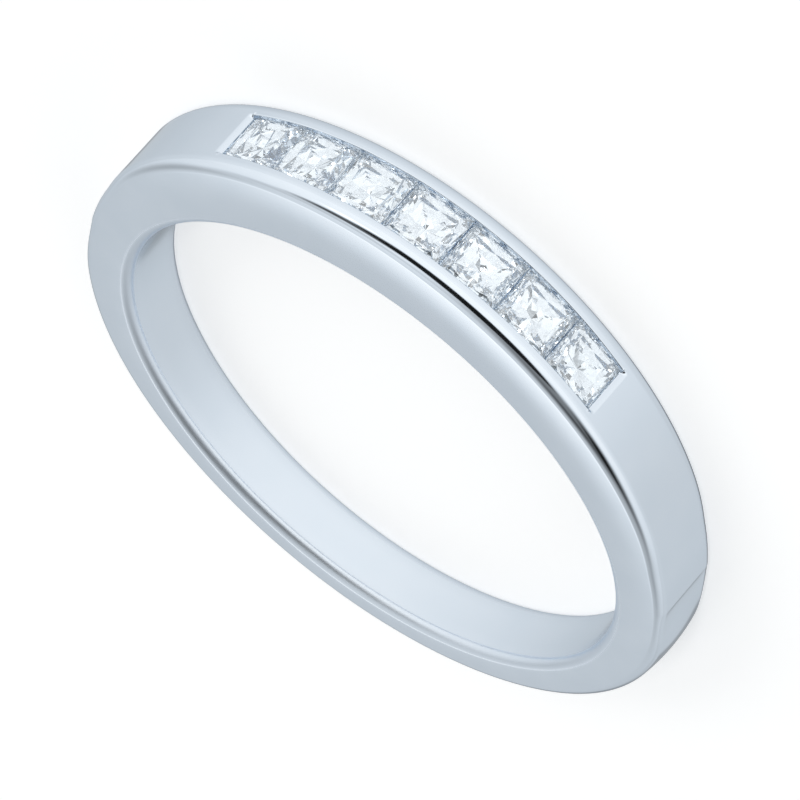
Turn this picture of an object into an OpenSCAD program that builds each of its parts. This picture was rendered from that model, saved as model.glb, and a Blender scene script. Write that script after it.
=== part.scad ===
// A channel-set wedding ring: one cast band and a row of square stones sunk between two rails.
// The finger hole runs along Z through the origin, which is its centre. The stones face +Y.
// All lengths are in millimetres.

/* [Finger hole] */
// Inner diameter of the ring
finger_d = 17; // [15:0.25:19]
// Rounding of the finger hole's two rims
comfort_r = 0.5; // [0.3:0.05:0.6]

/* [Band] */
// Height of the band above the finger at the stones
head_t = 2.85; // [2.6:0.05:3.2]
// Thickness of the band at each side of the finger
side_t = 1.7; // [1.5:0.05:1.8]
// Thickness of the band under the finger
back_t = 1.15; // [1.1:0.05:1.4]
// Radius of the arc that the outside follows over the stones
crown_r = 10; // [9.8:0.1:10.4]
// Width of the band at the stones
head_w = 2.9; // [2.7:0.05:3.2]
// Width of the band under the finger
back_w = 2; // [1.8:0.05:2.6]
// Rounding of the band's two outer edges
edge_r = 0.3; // [0.2:0.05:0.4]

/* [Stones] */
// Width of a square stone at its girdle
stone_w = 1.9; // [1.8:0.02:1.96]
// Width of the table, the flat top of a stone
table_w = 1.34; // [1.2:0.02:1.44]
// Height of the crown, from the girdle to the table
crown_h = 0.22; // [0.18:0.01:0.24]
// Thickness of the girdle
girdle_t = 0.06; // [0.04:0.01:0.08]
// Depth of the pavilion, from the girdle to the point
pavilion_h = 1.08; // [0.9:0.02:1.1]

/* [Channel] */
// Width of the opening between the two rails
opening_w = 1.68; // [1.5:0.02:1.76]
// Depth of the tables below the band's outside
recess = 0.08; // [0.05:0.01:0.1]
// Clearance between a stone and what is next to it
gap = 0.03; // [0.02:0.01:0.04]
// Length of the bevel at each end of the channel
bevel_l = 0.12; // [0.1:0.02:0.3]
// Depth of the bevel at each end of the channel
bevel_h = 0.26; // [0.1:0.02:0.3]

/* [Hidden] */
$fn = 128;

stones = 7;
metal = [0.80, 0.84, 0.89];
crystal = [0.93, 0.97, 1.0];

// Outline seen along the finger: a crown arc over the stones and a shank arc round the back, each
// with its centre on the Y axis. They cross at a very shallow angle below the ends of the row.
finger_r = finger_d / 2;
crown_y = finger_r + head_t - crown_r;
side_x = finger_r + side_t;
back_y = finger_r + back_t;
shank_r = (side_x * side_x + back_y * back_y) / (2 * back_y);
shank_y = shank_r - back_y;

// Each side face leans so that the band is widest at the stones.
lean = atan((head_w - back_w) / 2 / (2 * finger_r + head_t + back_t));
half_w = round(10000 * cos(lean) * (head_w / 2 - (finger_r + head_t) * tan(lean))) / 10000;
section_d = head_t + 0.5;
below = 1;
// The rims start this far inside the finger hole, so that they cut it cleanly although they lean.
rim_bite = 0.03;

// Stones sit on the crown arc, table outwards.
girdle_r = crown_r - recess - crown_h;
seat_r = girdle_r - girdle_t;
stone_h = crown_h + girdle_t + pavilion_h;
pitch = 2 * asin((stone_w + gap) / 2 / seat_r);
// A flat stone's ends stand this much further out than its middle, because the row is curved.
end_rise = seat_r * (1 / cos(pitch / 2) - 1);
row_a = stones * pitch / 2;

// Facets of a stone, as fractions of its half width and of the height or depth that they lie in.
star_out = 0.86;
star_up = 0.56;
//            out   down
chevrons = [[0.64, 0.42],
            [0.34, 0.73]];
ridges = [[0.72, 0.28],
          [0.42, 0.58]];

// The groove that holds the girdles, one slope over the crowns and one under the pavilions.
groove_w = stone_w + 2 * gap;
crown_slope = crown_h / ((stone_w - table_w) / 2);
seat_slope = chevrons[0][1] * pavilion_h / ((1 - chevrons[0][0]) * stone_w / 2);
floor_r = crown_r - recess - stone_h - 4 * gap;

// Half of the band's cross-section, from its middle plane up, with the outer edge rounded.
module section(r) {
    translate([r - section_d, -below]) square([section_d, below + half_w - edge_r]);
    translate([r - section_d, -below]) square([section_d - edge_r, below + half_w]);
    translate([r - edge_r, half_w - edge_r]) circle(edge_r);
}

// The band's section carried all round a centre on the Y axis.
module section_ring(centre_y, r) {
    translate([0, centre_y, 0]) rotate_extrude() section(r);
}

// What rounds the rim of the finger hole.
module rim_cutter() {
    rotate_extrude() difference() {
        translate([0, half_w - comfort_r]) square([finger_r + comfort_r - rim_bite, 2 * comfort_r]);
        translate([finger_r + comfort_r - rim_bite, half_w - comfort_r]) circle(comfort_r);
    }
}

// The band above its middle plane, before the finger hole and the channel are cut.
module upper_half() {
    intersection() {
        translate([-2 * finger_r, -2 * finger_r, 0]) cube([4 * finger_r, 4 * finger_r, head_w]);
        rotate([lean, 0, 0]) difference() {
            union() {
                section_ring(crown_y, crown_r);
                section_ring(shank_y, shank_r);
            }
            rim_cutter();
        }
    }
}

// Half of the channel's cross-section: the opening, the girdle groove and the space below.
module channel_profile() {
    mouth = opening_w / 2;
    deep = groove_w / 2;
    lip = girdle_r + end_rise + gap;
    seat = seat_r - gap;
    polygon([
        [floor_r, 0], [floor_r, mouth],
        [seat - (deep - mouth) * seat_slope, mouth], [seat, deep],
        [lip, deep], [lip + (deep - mouth) * crown_slope, mouth],
        [crown_r + 1, mouth], [crown_r + 1, 0]
    ]);
}

// What is cut away for the row of stones, with a bevel at each end.
module channel() {
    end_a = row_a + asin(gap / girdle_r);
    translate([0, crown_y, 0]) {
        rotate([0, 0, 90 - end_a]) rotate_extrude(angle = 2 * end_a) {
            channel_profile();
            mirror([0, 1]) channel_profile();
        }
        for (side = [0, 1]) mirror([side, 0, 0]) rotate([0, 0, -end_a]) {
            translate([0, 0, -opening_w / 2]) linear_extrude(opening_w) polygon([
                [-bevel_l, crown_r - bevel_h], [0, crown_r - bevel_h],
                [bevel_l, crown_r + bevel_h / 8], [0, crown_r + 1], [-bevel_l, crown_r + 1]
            ]);
        }
    }
}

// The cast band: shank, rails and the channel between them, all one piece of metal.
module band() {
    color(metal) difference() {
        union() {
            upper_half();
            mirror([0, 0, 1]) upper_half();
        }
        translate([0, 0, -head_w]) cylinder(h = 2 * head_w, r = finger_r);
        channel();
    }
}

// Four points, one in each quarter turn about Z.
function quarter_turns(x, y, z) = [for (q = [0:3]) [
    x * cos(90 * q) - y * sin(90 * q), x * sin(90 * q) + y * cos(90 * q), z
]];

// A square cut stone with a table, a crown, a girdle and a chevron pavilion, table at Z = 0.
module cut_stone() {
    g = stone_w / 2;
    t = table_w / 2;
    top = -crown_h;
    low = -crown_h - girdle_t;
    points = concat(
        quarter_turns(t, t, 0),
        quarter_turns(t + (g - t) * (1 - star_up), 0, -crown_h * (1 - star_out) * 2),
        quarter_turns(g, g, top),
        quarter_turns(g, g, low),
        quarter_turns(g, 0, low),
        [for (r = ridges) each quarter_turns(r[0] * g, r[0] * g, low - r[1] * pavilion_h)],
        [for (c = chevrons) each quarter_turns(c[0] * g, 0, low - c[1] * pavilion_h)],
        [[0, 0, -stone_h]]
    );
    table = 0; star = 4; girdle = 8; under = 12; middle = 16; ridge = 20; chevron = 28; tip = 36;
    faces = concat(
        [[3, 2, 1, 0]],
        [for (q = [0:3]) let (p = (q + 3) % 4) each [
            [table + p, table + q, star + q],
            [girdle + p, star + q, girdle + q],
            [table + q, girdle + q, star + q],
            [table + p, star + q, girdle + p],
            [girdle + q, under + q, middle + q, under + p, girdle + p],
            [under + q, ridge + q, middle + q],
            [middle + q, ridge + p, under + p],
            [middle + q, ridge + q, chevron + q],
            [middle + q, chevron + q, ridge + p],
            [ridge + q, ridge + 4 + q, chevron + q],
            [chevron + q, ridge + 4 + p, ridge + p],
            [chevron + q, ridge + 4 + q, chevron + 4 + q],
            [chevron + q, chevron + 4 + q, ridge + 4 + p],
            [ridge + 4 + q, tip, chevron + 4 + q],
            [chevron + 4 + q, tip, ridge + 4 + p]
        ]]
    );
    polyhedron(points, faces);
}

// One stone of the row, counted from the -X end.
module stone(i) {
    color(crystal) translate([0, crown_y, 0]) rotate([0, 0, ((stones + 1) / 2 - i) * pitch])
        translate([0, crown_r - recess, 0]) rotate([-90, 0, 0]) cut_stone();
}

band();
stone(1);  // stone_1
stone(2);  // stone_2
stone(3);  // stone_3
stone(4);  // stone_4
stone(5);  // stone_5
stone(6);  // stone_6
stone(7);  // stone_7
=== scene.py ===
"""A channel-set wedding ring: the polished band, its seven princess-cut stones and a plain studio.

The ring lies on its side face. The finger hole runs along Z and the stones face +Y. Lengths below
are millimetres times MM, and Blender's unit is the metre.
"""
import math

import bpy
import numpy as np
from mathutils import Matrix, Vector
from mathutils.geometry import tessellate_polygon


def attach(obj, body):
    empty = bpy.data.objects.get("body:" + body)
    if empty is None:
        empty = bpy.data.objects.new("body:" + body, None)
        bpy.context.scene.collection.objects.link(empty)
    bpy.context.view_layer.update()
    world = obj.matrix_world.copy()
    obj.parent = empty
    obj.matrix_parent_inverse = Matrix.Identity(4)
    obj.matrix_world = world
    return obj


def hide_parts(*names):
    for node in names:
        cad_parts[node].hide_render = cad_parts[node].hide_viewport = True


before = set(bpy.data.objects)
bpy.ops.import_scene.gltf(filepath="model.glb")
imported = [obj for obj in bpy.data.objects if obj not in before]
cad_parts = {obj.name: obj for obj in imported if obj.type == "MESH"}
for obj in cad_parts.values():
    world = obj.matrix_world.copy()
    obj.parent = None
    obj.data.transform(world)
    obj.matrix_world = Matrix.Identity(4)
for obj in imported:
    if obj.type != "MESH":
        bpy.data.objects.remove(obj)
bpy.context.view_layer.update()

MM = 0.001

# Band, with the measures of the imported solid
FINGER_R = 8.5 * MM
HEAD_Y = FINGER_R + 2.85 * MM
BACK_Y = FINGER_R + 1.15 * MM
SIDE_X = FINGER_R + 1.7 * MM
SHANK_R = (SIDE_X ** 2 + BACK_Y ** 2) / (2 * BACK_Y)
SHANK_Y = SHANK_R - BACK_Y
CROWN_R = 10 * MM
CROWN_Y = HEAD_Y - CROWN_R
HEAD_W = 2.9 * MM
BACK_W = 2.0 * MM
# Rounding of the outer edges beside the stones and under the finger
HEAD_EDGE = 0.45 * MM
BACK_EDGE = 0.26 * MM
# Rim of the finger hole: a wide rounding, then a narrow one from this slope on, in degrees, and how much
# rougher its polish is than the rest
RIM_R = 4.0 * MM
RIM_SMALL_R = 0.33 * MM
RIM_SLOPE = 85.5
RIM_ROUGH = 0.3
# How far the side face's surface normal turns from its middle to its edges, in degrees
HEAD_DOME = 4.5
BACK_DOME = 1.5
# Beyond this arc length from the head the outside turns in by this dip, and then is domed across its width
PLATE_END = 15.3 * MM
PLATE_DIP = 0.07 * MM
DOME_L = 3 * MM
SHANK_DOME = 0.14 * MM
# The outside is softly drawn in there, starting this far before that place and ending this far after it
BEFORE_L = 4 * MM
AFTER_L = 9 * MM

# Channel and stones
STONES = 7
STONE_W = 1.9 * MM
TABLE_W = 1.34 * MM
CROWN_H = 0.22 * MM
GIRDLE_T = 0.06 * MM
PAVILION_H = 1.08 * MM
# Where the pavilion's first facets end, as shares of the half width and of the depth
CHEVRON_OUT = 0.64
CHEVRON_DOWN = 0.42
# The rails' inner edges draw together towards the row's ends
OPENING_W = 1.74 * MM
OPENING_END_W = 1.58 * MM
RECESS = 0.08 * MM
GAP = 0.03 * MM
LIP_R = 0.04 * MM
# The end stones reach this far under a lip, and a curved bevel runs down to the lip
TUCK = 0.14 * MM
BEVEL_L = 0.17 * MM
BEVEL_H = 0.13 * MM
# The power that curves the bevel, and the width over which it fades out beside the rails
BEVEL_CURVE = 1.6
BEVEL_FADE = 0.1 * MM

# Derived lines of the outline and of the row
TANGENT_A = math.asin((SHANK_R - CROWN_R) / (CROWN_Y - SHANK_Y))
TANGENT_L = (CROWN_Y - SHANK_Y) * math.cos(TANGENT_A)
CROWN_END = CROWN_R * (math.pi / 2 - TANGENT_A)
SHANK_START = CROWN_END + TANGENT_L
BACK_S = SHANK_START + SHANK_R * (math.pi / 2 + TANGENT_A)
GIRDLE_R = CROWN_R - RECESS - CROWN_H
SEAT_R = GIRDLE_R - GIRDLE_T
STONE_H = CROWN_H + GIRDLE_T + PAVILION_H
PITCH = 2 * math.asin((STONE_W + GAP) / 2 / SEAT_R)
ROW_END = CROWN_R * (STONES * PITCH / 2 + math.asin(GAP / GIRDLE_R)) - TUCK

# Colours: the two tones that each material passes between, the metal's at a grazing angle, and the faint
# painted glow, light from within the stones, that lifts a stone's darkest facets
GOLD_TONES = ((0.70, 0.765, 0.84, 1), (0.75, 0.805, 0.875, 1))
GOLD_GRAZING = (0.84, 0.87, 0.90, 1)
STONE_TONES = ((0.72, 0.79, 0.85, 1), (0.80, 0.85, 0.90, 1))
STONE_PAINTED_GLOW = 0.02
STONE_PAINTED_GLOW_TONE = (0.88, 0.95, 1.0, 1)
# Roughness of the polished metal, from its smoothest to its dullest places
GOLD_ROUGH = (0.07, 0.14)

# Studio light: the brightness of the surroundings, how it rises along each axis, and its least value
SKY = 1.05
SKY_SLOPE = (0.03, 0.205, 0.0)
DARKEST = 0.01
# Tint of the surroundings where they are dim and where they are bright
COOL = (0.955, 0.985, 1.0, 1)
WARM = (1.0, 0.985, 0.955, 1)
# Glow of the floor, and strength, place in the sky and width of the lamp, the last two in degrees
FLOOR_GLOW = 0.4
KEY = 0.5
KEY_FROM = (5, 42)
KEY_SPREAD = 16
# The floor lies this far below the ring, so that the two don't coincide
FLOOR_GAP = 0.005 * MM

# Camera, matched to the photograph: degrees, millimetres and pixels of the 800 pixel frame
CAMERA_EL = 25.427
CAMERA_AZ = 14.661
CAMERA_ROLL = 221.342
CAMERA_D = 250 * MM
PIXELS = 800
PIXELS_PER_MM = 35.342
CENTRE_PX = (392.496, 419.034)
SENSOR = 36.0


def outline(s):
    """Outside point and outward direction in the XY plane at each arc length s from the head."""
    a = np.abs(s)
    side = np.sign(s) + (s == 0)
    turn = np.clip(a, 0, CROWN_END) / CROWN_R + np.maximum(a - SHANK_START, 0) / SHANK_R
    run = np.clip(a - CROWN_END, 0, TANGENT_L)
    n = np.stack([side * np.sin(turn), np.cos(turn)], -1)
    along = np.stack([side * np.cos(turn), -np.sin(turn)], -1)
    crown = np.array([0, CROWN_Y]) + CROWN_R * n + run[..., None] * along
    shank = np.array([0, SHANK_Y]) + SHANK_R * n
    return np.where((a < SHANK_START)[..., None], crown, shank), n


def smooth(x):
    """A soft step from 0 to 1."""
    x = np.clip(x, 0, 1)
    return x * x * (3 - 2 * x)


def half_width(y):
    """Half the band's width at a height y of the ring."""
    return (BACK_W + (HEAD_W - BACK_W) * (y + BACK_Y) / (HEAD_Y + BACK_Y)) / 2


def blend(s, head, back):
    """A measure that passes softly from the stones towards the back, three quarters of the way to it."""
    return back + (head - back) * smooth(1 - np.abs(s) / (0.75 * BACK_S))


def opening(s):
    """Half the width between the rails' inner edges."""
    far = np.clip(np.abs(s) / ROW_END, 0, 1)
    return (OPENING_W + (OPENING_END_W - OPENING_W) * far ** 2) / 2


# A profile point is nine shares. Its inset from the outside is i0 + it * thickness + ir * edge radius.
# Its height is z0 + zw * half width + zr * edge radius + zo * half opening - zd * fall of the dome.
# At the row's two ends it lies further along the band by sl.
def row(u, i0=0.0, it=0.0, ir=0.0, z0=0.0, zw=0.0, zr=0.0, zo=0.0, zd=0.0, sl=0.0):
    """Profile points, one for each u."""
    shares = (i0, it, ir, z0, zw, zr, zo, zd, sl)
    return np.stack([np.broadcast_to(np.asarray(v, float), u.shape) for v in shares], -1)


SLOPE = math.radians(RIM_SLOPE)
DOME = math.radians(HEAD_DOME)
RIM_IN = RIM_R - (RIM_R - RIM_SMALL_R) * math.sin(SLOPE) - RIM_SMALL_R * math.sin(DOME)
RIM_DOWN = RIM_SMALL_R * math.cos(DOME) + (RIM_R - RIM_SMALL_R) * math.cos(SLOPE)
EDGE_IN = 1 - math.sin(DOME)


def dome_fall(s, thick):
    """How far the domed side face lies lower at its edges than in its middle."""
    turn = np.radians(blend(s, HEAD_DOME, BACK_DOME))
    return np.tan(turn) / 4 * (thick - RIM_IN - EDGE_IN * blend(s, HEAD_EDGE, BACK_EDGE))


def bore(u):
    """Inside of the finger hole, from the middle plane to the rim."""
    return row(u, it=1, z0=-u * RIM_DOWN, zw=u, zd=u)


def rim(u):
    """Rounded rim of the finger hole, wide on the inside and narrow at the side face."""
    slope = np.interp(u, (0, 0.5, 1), (math.pi / 2, SLOPE, DOME))
    wide, narrow = np.maximum(slope, SLOPE), np.minimum(slope, SLOPE)
    i0 = -RIM_R * (1 - np.sin(wide)) + RIM_SMALL_R * (np.sin(narrow) - math.sin(SLOPE))
    rise = RIM_R * np.cos(wide) + RIM_SMALL_R * (np.cos(narrow) - math.cos(SLOPE))
    return row(u, i0=i0, it=1, z0=rise - RIM_DOWN, zw=1, zd=1)


def side(u):
    """Slightly domed side face."""
    return row(u, i0=-RIM_IN * (1 - u), it=1 - u, ir=EDGE_IN * u, zw=1, zd=(2 * u - 1) ** 2)


def edge(u):
    """Rounded outer edge."""
    b = DOME + (math.pi / 2 - DOME) * u
    return row(u, ir=1 - np.sin(b), zw=1, zr=np.cos(b) - math.cos(DOME), zd=1)


def rail(u):
    """Flat outside between the rounded edge and the line of the channel's lip."""
    back = 1 - u
    return row(u, z0=LIP_R * u, zw=back, zr=-math.cos(DOME) * back, zo=u, zd=back)


def middle(u):
    """Outside beyond the row, from the line of the lip to the middle plane."""
    return row(u, z0=LIP_R * (1 - u), zo=1 - u)


def lip(u):
    """Softly rounded edge of the rail over the stones."""
    b = u * math.pi / 2
    return row(u, i0=LIP_R * (1 - np.cos(b)), z0=LIP_R * (1 - np.sin(b)), zo=1)


def channel_corners():
    """Corners below the lip: radius from the crown's centre, share of the opening, width added, tuck."""
    mouth, deep = OPENING_W / 2, (STONE_W + 2 * GAP) / 2
    crown_slope = CROWN_H / ((STONE_W - TABLE_W) / 2)
    seat_slope = CHEVRON_DOWN * PAVILION_H / ((1 - CHEVRON_OUT) * STONE_W / 2)
    ceiling = GIRDLE_R + SEAT_R * (1 / math.cos(PITCH / 2) - 1) + GAP
    seat = SEAT_R - GAP
    floor = CROWN_R - RECESS - STONE_H - 4 * GAP
    return [
        (CROWN_R - LIP_R, 1, 0, 0),
        (ceiling + (deep - mouth) * crown_slope, 1, 0, 0),
        (ceiling, 0, deep, TUCK),
        (seat, 0, deep, TUCK),
        (seat - (deep - mouth) * seat_slope, 1, 0, TUCK),
        (floor, 1, 0, TUCK),
        (floor, 0, 0, TUCK),
    ]


def straight(start, end):
    """A straight piece of the channel's profile between two corners."""
    def piece(u):
        radius, share, width, tuck = (a + (b - a) * u for a, b in zip(start, end))
        return row(u, i0=CROWN_R - radius, zo=share, z0=width, sl=tuck)
    return piece


def bevel_depth(s, z):
    """How far the burnished bevels at the row's two ends are sunk below the outside."""
    away = (np.abs(s) - ROW_END) / BEVEL_L
    # The small margin keeps the row's own end in
    fall = np.where(away > -1e-3, np.clip(1 - away, 0, 1) ** BEVEL_CURVE, 0)
    across = smooth((OPENING_END_W / 2 + LIP_R - np.abs(z)) / BEVEL_FADE)
    return BEVEL_H * fall * across


def shank_dome(s, across):
    """Inset of the outside, which is drawn in about the flat part's end, dips there and is domed beyond.

    across runs from 0 at the middle plane to 1 at the side face.
    """
    past = np.abs(s) - PLATE_END
    drawn_in = 0.5 * smooth(1 + past / BEFORE_L) * smooth(1 - past / AFTER_L)
    domed = smooth(past / DOME_L) * (1 - across ** 2)
    # x * (1 - x) ** 2 is 4 / 27 where it is highest
    x = np.clip(past / DOME_L, 0, 1)
    dip = 27 / 4 * x * (1 - x) ** 2 * (1 - across ** 6)
    return SHANK_DOME * (drawn_in - domed) + PLATE_DIP * dip


def surface(s, points, sunk):
    """3-D points of a profile, above the middle plane, at each arc length.

    sunk is true for the outside beyond the row, which the bevels are cut into.
    """
    i0, it, ir, z0, zw, zr, zo, zd, sl = points.T
    s = s[:, None]
    # The tuck stretches the row's last step alone
    s = s + sl * np.sign(s) * np.clip((np.abs(s) - ROW_END) / STEP + 1, 0, 1)
    outside, n = outline(s)
    dot = (outside * n).sum(-1)
    thick = dot - np.sqrt(dot ** 2 - (outside ** 2).sum(-1) + FINGER_R ** 2)
    round_r, mouth, fall = blend(s, HEAD_EDGE, BACK_EDGE), opening(s), dome_fall(s, thick)
    inset = i0 + it * thick + ir * round_r
    y = outside[..., 1] - n[..., 1] * inset
    z = z0 + zw * half_width(y) + zr * round_r + zo * mouth - zd * fall
    if sunk:
        inset = inset + bevel_depth(s, z)
    # The dome fades out halfway to the finger hole
    near = np.clip(1 - inset / (0.5 * thick), 0, 1)
    inset = inset + near * shank_dome(s, np.clip(z / half_width(y), 0, 1))
    xy = outside - n * inset[..., None]
    return np.concatenate([xy, z[..., None]], -1)


def surface_normals(s, piece, u, sunk):
    """Exact outward normals, from tiny steps along and across the band."""
    ds, du = 1e-7, 1e-5
    along = surface(s + ds, piece(u), sunk) - surface(s - ds, piece(u), sunk)
    across = surface(s, piece(u + du), sunk) - surface(s, piece(u - du), sunk)
    n = np.cross(along, across)
    return n / np.linalg.norm(n, axis=-1, keepdims=True)


def steps(start, end, size):
    """Even steps from start to end of about that size, both ends in."""
    return np.linspace(start, end, max(2, round((end - start) / size) + 1))


def spread(n, crowd=0.0):
    """n + 1 values from 0 to 1, drawn towards both ends by crowd."""
    t = np.linspace(0, 1, n + 1)
    return t + crowd * (smooth(t) - t)


# Length of a step along the row, the bevels, the shoulders and the shank
STEP = 0.11 * MM
BEVEL_STEP = 0.03 * MM
SHOULDER_STEP = 0.17 * MM
SHANK_STEP = 0.2 * MM
# Reach of the fine steps on either side of the flat part's end
FINE = 0.06 * MM
# Pieces of the profile round the outside, with their divisions
SHELL = [(bore, spread(6)), (rim, spread(12)), (side, spread(14)), (edge, spread(16)), (rail, spread(2))]
BEYOND = [(middle, spread(14, 0.6))]


def inside_channel():
    """Pieces of the profile from the lip to the channel's middle."""
    corners = channel_corners()
    divided = [(lip, spread(4))]
    for start, end in zip(corners, corners[1:]):
        divided.append((straight(start, end), spread(1)))
    return divided


class BandMesh:
    """Collects the band's points, faces and exact corner normals."""

    def __init__(self):
        self.points, self.count = [], 0
        self.faces, self.normals = [], []

    def add(self, points):
        """Adds a grid of points and returns their numbers in the same shape."""
        numbers = np.arange(self.count, self.count + points[..., 0].size).reshape(points.shape[:-1])
        self.points.append(points.reshape(-1, 3))
        self.count += numbers.size
        return numbers

    def quads(self, numbers, normals, closed):
        """Faces between neighbouring rows of numbers, which run along the band."""
        last = len(numbers) if closed else len(numbers) - 1
        for i in range(last):
            k = (i + 1) % len(numbers)
            quad = np.stack([numbers[i, :-1], numbers[k, :-1], numbers[k, 1:], numbers[i, 1:]], -1)
            facing = np.stack([normals[i, :-1], normals[k, :-1], normals[k, 1:], normals[i, 1:]], 1)
            self.faces.extend(quad.tolist())
            self.normals.extend(facing.reshape(-1, 3).tolist())

    def flat(self, corners, way):
        """A flat face with the given corners, cut into triangles and turned over where way is -1."""
        corners = np.array(corners, int)[::way]
        p = np.concatenate(self.points)[corners] / MM
        n = np.cross(p, np.roll(p, -1, 0)).sum(0)
        n /= np.linalg.norm(n)
        for triangle in tessellate_polygon([[Vector(q) for q in p]]):
            a, b, c = p[list(triangle)]
            turn = 1 if np.cross(b - a, c - a) @ n > 0 else -1
            self.faces.append(corners[list(triangle)][::turn].tolist())
            self.normals.extend([tuple(n)] * 3)

    def strip(self, s, divided, sunk=False, closed=False, first=None, last=None):
        """One run of profile pieces along s, above the middle plane and mirrored below it.

        first holds the point numbers that the run starts from, a row above the middle plane and one below
        it. Without it the run starts on the middle plane. last is "middle" where the run ends on it.
        """
        out = []
        for level in (1, -1):
            flip = np.array([1, 1, level])
            columns = [None] * len(divided)
            shared = None if first is None else first[0 if level == 1 else 1]
            for j, (piece, u) in enumerate(divided):
                grid = surface(s, piece(u), sunk) * flip
                numbers = np.empty(grid.shape[:-1], int)
                head = 0
                if shared is not None:
                    numbers[:, 0] = shared
                    head = 1
                if level == -1 and j == 0 and first is None:
                    numbers[:, 0] = out[0][0][:, 0]
                    head = 1
                tail = grid.shape[1]
                if level == -1 and j == len(divided) - 1 and last == "middle":
                    tail -= 1
                    numbers[:, tail] = out[0][-1][:, -1]
                numbers[:, head:tail] = self.add(grid[:, head:tail])
                normals = surface_normals(s, piece, u, sunk) * flip
                if level == 1:
                    self.quads(numbers, normals, closed)
                else:
                    self.quads(numbers[:, ::-1], normals[:, ::-1], closed)
                shared = numbers[:, -1]
                columns[j] = numbers
            out.append(columns)
        return out


def build_band():
    """The whole band as one closed mesh: shell, channel, bevels and the two end walls."""
    half = [
        steps(0, ROW_END, STEP),
        steps(ROW_END, ROW_END + BEVEL_L, BEVEL_STEP),
        steps(ROW_END + BEVEL_L, CROWN_END, SHOULDER_STEP),
        steps(CROWN_END, SHANK_START, SHOULDER_STEP),
        steps(SHANK_START, PLATE_END - FINE, SHANK_STEP),
        steps(PLATE_END - FINE, PLATE_END + FINE, FINE / 3),
        steps(PLATE_END + FINE, BACK_S, SHANK_STEP),
    ]
    # Arc lengths from the head round the +X side to the back, and on round the -X side
    right = np.unique(np.concatenate(half).round(12))
    s = np.concatenate([right, -right[1:-1][::-1]])
    body = BandMesh()
    shell = body.strip(s, SHELL, closed=True)
    rails = [level[-1][:, -1] for level in shell]

    end = int(np.argmin(np.abs(s - ROW_END)))
    start = int(np.argmin(np.abs(s + ROW_END)))
    beyond = np.arange(end, start + 1)
    within = np.concatenate([np.arange(start, len(s)), np.arange(0, end + 1)])
    plain = body.strip(s[beyond], BEYOND, sunk=True, first=[r[beyond] for r in rails], last="middle")
    groove = body.strip(s[within], inside_channel(), first=[r[within] for r in rails], last="middle")

    # Each end wall is three flat faces: above the girdle groove, at its upper slope, and from there down
    for outer_i, inner_i, way in ((0, -1, 1), (-1, 0, -1)):
        above, below = plain[0][0][outer_i], plain[1][0][outer_i]
        up, down = ([c[inner_i] for c in level] for level in groove)
        bevel_foot = list(above) + list(below[::-1][1:])
        body.flat(bevel_foot + list(down[0][1:]) + [down[1][-1], up[1][-1]] + list(up[0][:0:-1]), way)
        body.flat([up[1][-1], down[1][-1], down[2][-1], up[2][-1]], way)
        body.flat([c[-1] for c in [up[2]] + down[2:] + up[5:2:-1]], way)
    return body


def band_object():
    """The band as a Blender object that stands for the CAD band."""
    body = build_band()
    mesh = bpy.data.meshes.new("ring_band")
    mesh.from_pydata(np.concatenate(body.points).tolist(), [], body.faces)
    mesh.shade_smooth()
    mesh.normals_split_custom_set(body.normals)
    mesh.validate()
    obj = bpy.data.objects.new("ring_band", mesh)
    bpy.context.scene.collection.objects.link(obj)
    return obj


def new_material(name):
    """A node material and its Principled shader."""
    m = bpy.data.materials.new(name)
    m.use_nodes = True
    return m, m.node_tree.nodes["Principled BSDF"]


def cloud_tone(nodes, links, place, scale, detail, tones):
    """A soft cloud over the surface, and the colour that it mixes from two tones."""
    cloud = nodes.new("ShaderNodeTexNoise")
    cloud.inputs["Scale"].default_value = scale
    cloud.inputs["Detail"].default_value = detail
    links.new(place, cloud.inputs["Vector"])
    tone = nodes.new("ShaderNodeMix")
    tone.data_type = "RGBA"
    tone.inputs["A"].default_value, tone.inputs["B"].default_value = tones
    links.new(cloud.outputs["Fac"], tone.inputs["Factor"])
    return cloud.outputs["Fac"], tone.outputs["Result"]


def rim_roughness(nodes, links, place):
    """Extra roughness of the finger hole's rims, which are less finely polished than the rest."""
    across = nodes.new("ShaderNodeVectorMath")
    across.operation = "MULTIPLY"
    across.inputs[1].default_value = (1, 1, 0)
    links.new(place, across.inputs[0])
    radius = nodes.new("ShaderNodeVectorMath")
    radius.operation = "LENGTH"
    links.new(across.outputs["Vector"], radius.inputs[0])
    away = nodes.new("ShaderNodeMath")
    away.operation = "SUBTRACT"
    links.new(radius.outputs["Value"], away.inputs[0])
    away.inputs[1].default_value = FINGER_R + RIM_IN / 2
    off = nodes.new("ShaderNodeMath")
    off.operation = "ABSOLUTE"
    links.new(away.outputs["Value"], off.inputs[0])
    # Full over the middle of the rim's width, and gone just past its two edges
    share = nodes.new("ShaderNodeMapRange")
    links.new(off.outputs["Value"], share.inputs["Value"])
    share.inputs["From Min"].default_value = 0.3 * RIM_IN
    share.inputs["From Max"].default_value = 0.6 * RIM_IN
    share.inputs["To Min"].default_value = RIM_ROUGH
    share.inputs["To Max"].default_value = 0.0
    return share.outputs["Result"]


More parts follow.
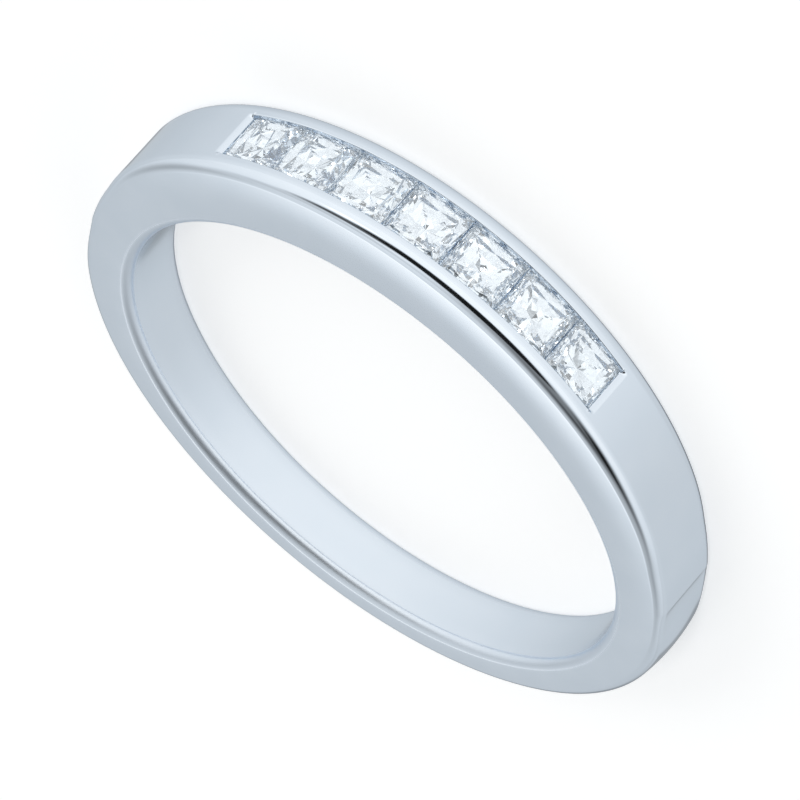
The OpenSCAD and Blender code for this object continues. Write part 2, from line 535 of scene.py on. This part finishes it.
def white_gold():
    """Polished white gold with faint polishing marks."""
    m, shader = new_material("white_gold")
    nodes, links = m.node_tree.nodes, m.node_tree.links
    place = nodes.new("ShaderNodeTexCoord").outputs["Object"]
    cloud, tone = cloud_tone(nodes, links, place, 900, 4, GOLD_TONES)
    links.new(tone, shader.inputs["Base Color"])
    gloss = nodes.new("ShaderNodeMapRange")
    gloss.inputs["To Min"].default_value, gloss.inputs["To Max"].default_value = GOLD_ROUGH
    links.new(cloud, gloss.inputs["Value"])
    rough = nodes.new("ShaderNodeMath")
    rough.operation = "ADD"
    links.new(gloss.outputs["Result"], rough.inputs[0])
    links.new(rim_roughness(nodes, links, place), rough.inputs[1])
    links.new(rough.outputs["Value"], shader.inputs["Roughness"])
    marks = nodes.new("ShaderNodeTexNoise")
    marks.inputs["Scale"].default_value = 5000
    marks.inputs["Detail"].default_value = 3
    links.new(place, marks.inputs["Vector"])
    bump = nodes.new("ShaderNodeBump")
    bump.inputs["Strength"].default_value = 0.02
    bump.inputs["Distance"].default_value = 0.02 * MM
    links.new(marks.outputs["Fac"], bump.inputs["Height"])
    links.new(bump.outputs["Normal"], shader.inputs["Normal"])
    shader.inputs["Metallic"].default_value = 1.0
    # White gold reflects less at a grazing angle than a plain metal's edge would
    shader.inputs["Specular Tint"].default_value = GOLD_GRAZING
    return m


def stone_material():
    """Clear colourless stone with polished facets, and a faint painted glow that lightens its darkest
    facets.
    """
    m, shader = new_material("stone")
    nodes, links = m.node_tree.nodes, m.node_tree.links
    place = nodes.new("ShaderNodeTexCoord").outputs["Object"]
    tone = cloud_tone(nodes, links, place, 700, 2, STONE_TONES)[1]
    links.new(tone, shader.inputs["Base Color"])
    shader.inputs["Transmission Weight"].default_value = 1.0
    shader.inputs["Roughness"].default_value = 0.0
    shader.inputs["IOR"].default_value = 2.42
    # Painted light: the stone glows faintly from within, which lightens its darkest facets
    shader.inputs["Emission Color"].default_value = STONE_PAINTED_GLOW_TONE
    shader.inputs["Emission Strength"].default_value = STONE_PAINTED_GLOW
    return m


def floor_material():
    """Plain pale floor, lit a little from within like a light table."""
    m, shader = new_material("floor")
    shader.inputs["Base Color"].default_value = (0.85, 0.85, 0.85, 1)
    shader.inputs["Roughness"].default_value = 0.9
    shader.inputs["Specular IOR Level"].default_value = 0.0
    shader.inputs["Emission Color"].default_value = (1.0, 1.0, 1.0, 1)
    shader.inputs["Emission Strength"].default_value = FLOOR_GLOW
    return m


def floor_object():
    """A wide plane along the side face that the ring lies on."""
    reach = 2000 * MM
    lean = math.atan((HEAD_W - BACK_W) / 2 / (HEAD_Y + BACK_Y))
    mesh = bpy.data.meshes.new("floor")
    corners = [(-reach, -reach, 0), (reach, -reach, 0), (reach, reach, 0), (-reach, reach, 0)]
    mesh.from_pydata(corners, [], [(0, 1, 2, 3)])
    obj = bpy.data.objects.new("floor", mesh)
    bpy.context.scene.collection.objects.link(obj)
    obj.rotation_euler = (-lean, 0, 0)
    obj.location = (0, HEAD_Y, -HEAD_W / 2 - FLOOR_GAP)
    mesh.materials.append(floor_material())
    return obj


def compass(azimuth, elevation):
    """Unit vector: azimuth 0 is +Y and 90 is +X, in degrees."""
    az, el = math.radians(azimuth), math.radians(elevation)
    return Vector((math.cos(el) * math.sin(az), math.cos(el) * math.cos(az), math.sin(el)))


# Soft patches of the surroundings: where each is, its two half sizes, how soft its edge is and what it
# adds to the brightness, all angles in degrees
PATCHES = [
    # azimuth, elevation, half width, half height, soft, adds
    (8, 53, 30, 16, 0.25, -1.25),
    (78, 62, 28, 26, 0.6, -0.85),
    (105, 44, 28, 9, 0.7, -0.35),
    (-48, 57, 20, 9, 0.4, -1.0),
    (-36, 38, 11, 6, 0.6, 0.5),
    (150, 50, 20, 24, 0.8, -0.35),
    (-100, 62, 8, 20, 0.7, -0.3),
    (-124, 32, 12, 18, 0.9, -0.35),
    (-167, 37, 9, 8, 0.8, 0.6),
    (180, 18, 60, 27, 0.5, -0.13),
    (0, -90, 78, 78, 0.3, -0.2),
    (95, -25, 26, 25, 0.8, -0.1),
    (189, -25, 18, 28, 0.15, -0.3),
    (172, -46, 13, 13, 0.6, -0.3),
]


def studio_world():
    """Pale surroundings with soft bright and dark patches."""
    world = bpy.data.worlds.new("studio")
    bpy.context.scene.world = world
    world.use_nodes = True
    nodes, links = world.node_tree.nodes, world.node_tree.links
    where = nodes.new("ShaderNodeTexCoord").outputs["Generated"]

    def dot(vector):
        node = nodes.new("ShaderNodeVectorMath")
        node.operation = "DOT_PRODUCT"
        links.new(where, node.inputs[0])
        node.inputs[1].default_value = vector
        return node.outputs["Value"]

    def math_node(operation, a, b=None):
        node = nodes.new("ShaderNodeMath")
        node.operation = operation
        for socket, value in zip(node.inputs, (a, b)):
            if isinstance(value, (int, float)):
                socket.default_value = value
            elif value is not None:
                links.new(value, socket)
        return node.outputs["Value"]

    total = math_node("ADD", dot(SKY_SLOPE), SKY)
    for azimuth, elevation, half_across, half_up, soft, adds in PATCHES:
        centre = compass(azimuth, elevation)
        up = compass(azimuth, elevation + 90)
        right = up.cross(centre)
        u = dot(right / math.sin(math.radians(half_across)))
        v = dot(up / math.sin(math.radians(half_up)))
        far = math_node("SQRT", math_node("ADD", math_node("MULTIPLY", u, u), math_node("MULTIPLY", v, v)))
        fall = nodes.new("ShaderNodeMapRange")
        fall.interpolation_type = "SMOOTHSTEP"
        links.new(far, fall.inputs["Value"])
        fall.inputs["From Min"].default_value = 1 + soft
        fall.inputs["From Max"].default_value = 1 - soft
        facing = math_node("GREATER_THAN", dot(centre), 0.0)
        patch = math_node("MULTIPLY", math_node("MULTIPLY", fall.outputs["Result"], facing), adds)
        total = math_node("ADD", total, patch)
    total = math_node("MAXIMUM", total, DARKEST)
    links.new(total, nodes["Background"].inputs["Strength"])
    # Cool where the surroundings are dim, warmer in the bright patches
    warmth = nodes.new("ShaderNodeMapRange")
    warmth.inputs["From Min"].default_value = 0.9
    warmth.inputs["From Max"].default_value = 1.4
    links.new(total, warmth.inputs["Value"])
    tint = nodes.new("ShaderNodeMix")
    tint.data_type = "RGBA"
    tint.inputs["A"].default_value = COOL
    tint.inputs["B"].default_value = WARM
    links.new(warmth.outputs["Result"], tint.inputs["Factor"])
    links.new(tint.outputs["Result"], nodes["Background"].inputs["Color"])
    return world


def key_light():
    """A broad lamp over the camera's side, which only lights matt things and shades them softly."""
    lamp = bpy.data.lights.new("key", "SUN")
    lamp.energy = KEY
    lamp.angle = math.radians(KEY_SPREAD)
    obj = bpy.data.objects.new("key", lamp)
    bpy.context.scene.collection.objects.link(obj)
    obj.rotation_euler = compass(*KEY_FROM).to_track_quat("Z", "Y").to_euler()
    obj.visible_glossy = False
    return obj


def camera():
    """The photograph's view of the ring."""
    el, az, roll = (math.radians(v) for v in (CAMERA_EL, CAMERA_AZ, CAMERA_ROLL))
    back = Vector((math.cos(el) * math.sin(az), math.cos(el) * math.cos(az), math.sin(el)))
    up = (Vector((0, 0, 1)) - back * back.z).normalized()
    right = up.cross(back)
    frame_right = right * math.cos(roll) + up * math.sin(roll)
    frame_up = up * math.cos(roll) - right * math.sin(roll)
    aim = frame_right * (PIXELS / 2 - CENTRE_PX[0]) + frame_up * (CENTRE_PX[1] - PIXELS / 2)
    place = aim * (MM / PIXELS_PER_MM) + back * CAMERA_D
    data = bpy.data.cameras.new("camera")
    data.sensor_width = SENSOR
    data.lens = SENSOR * PIXELS_PER_MM / MM * CAMERA_D / PIXELS
    data.clip_start = 10 * MM
    data.clip_end = 10000 * MM
    obj = bpy.data.objects.new("camera", data)
    bpy.context.scene.collection.objects.link(obj)
    obj.matrix_world = Matrix((frame_right, frame_up, back)).transposed().to_4x4()
    obj.location = place
    bpy.context.scene.camera = obj
    return obj


camera()
studio_world()
key_light()
bpy.context.scene.view_settings.view_transform = "Standard"
# Light crosses a cut stone many times before it comes out
bpy.context.scene.cycles.max_bounces = 24
bpy.context.scene.cycles.glossy_bounces = 16
bpy.context.scene.cycles.transmission_bounces = 20

band = band_object()
band.data.materials.append(white_gold())
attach(band, "root")
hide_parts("band")

crystal = stone_material()
for number in range(1, STONES + 1):
    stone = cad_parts[f"stone_{number}"]
    for held in stone.material_slots:
        held.material = crystal

floor = floor_object()
# The metal mirrors the studio's lower half, and not the floor's even white
floor.visible_glossy = False
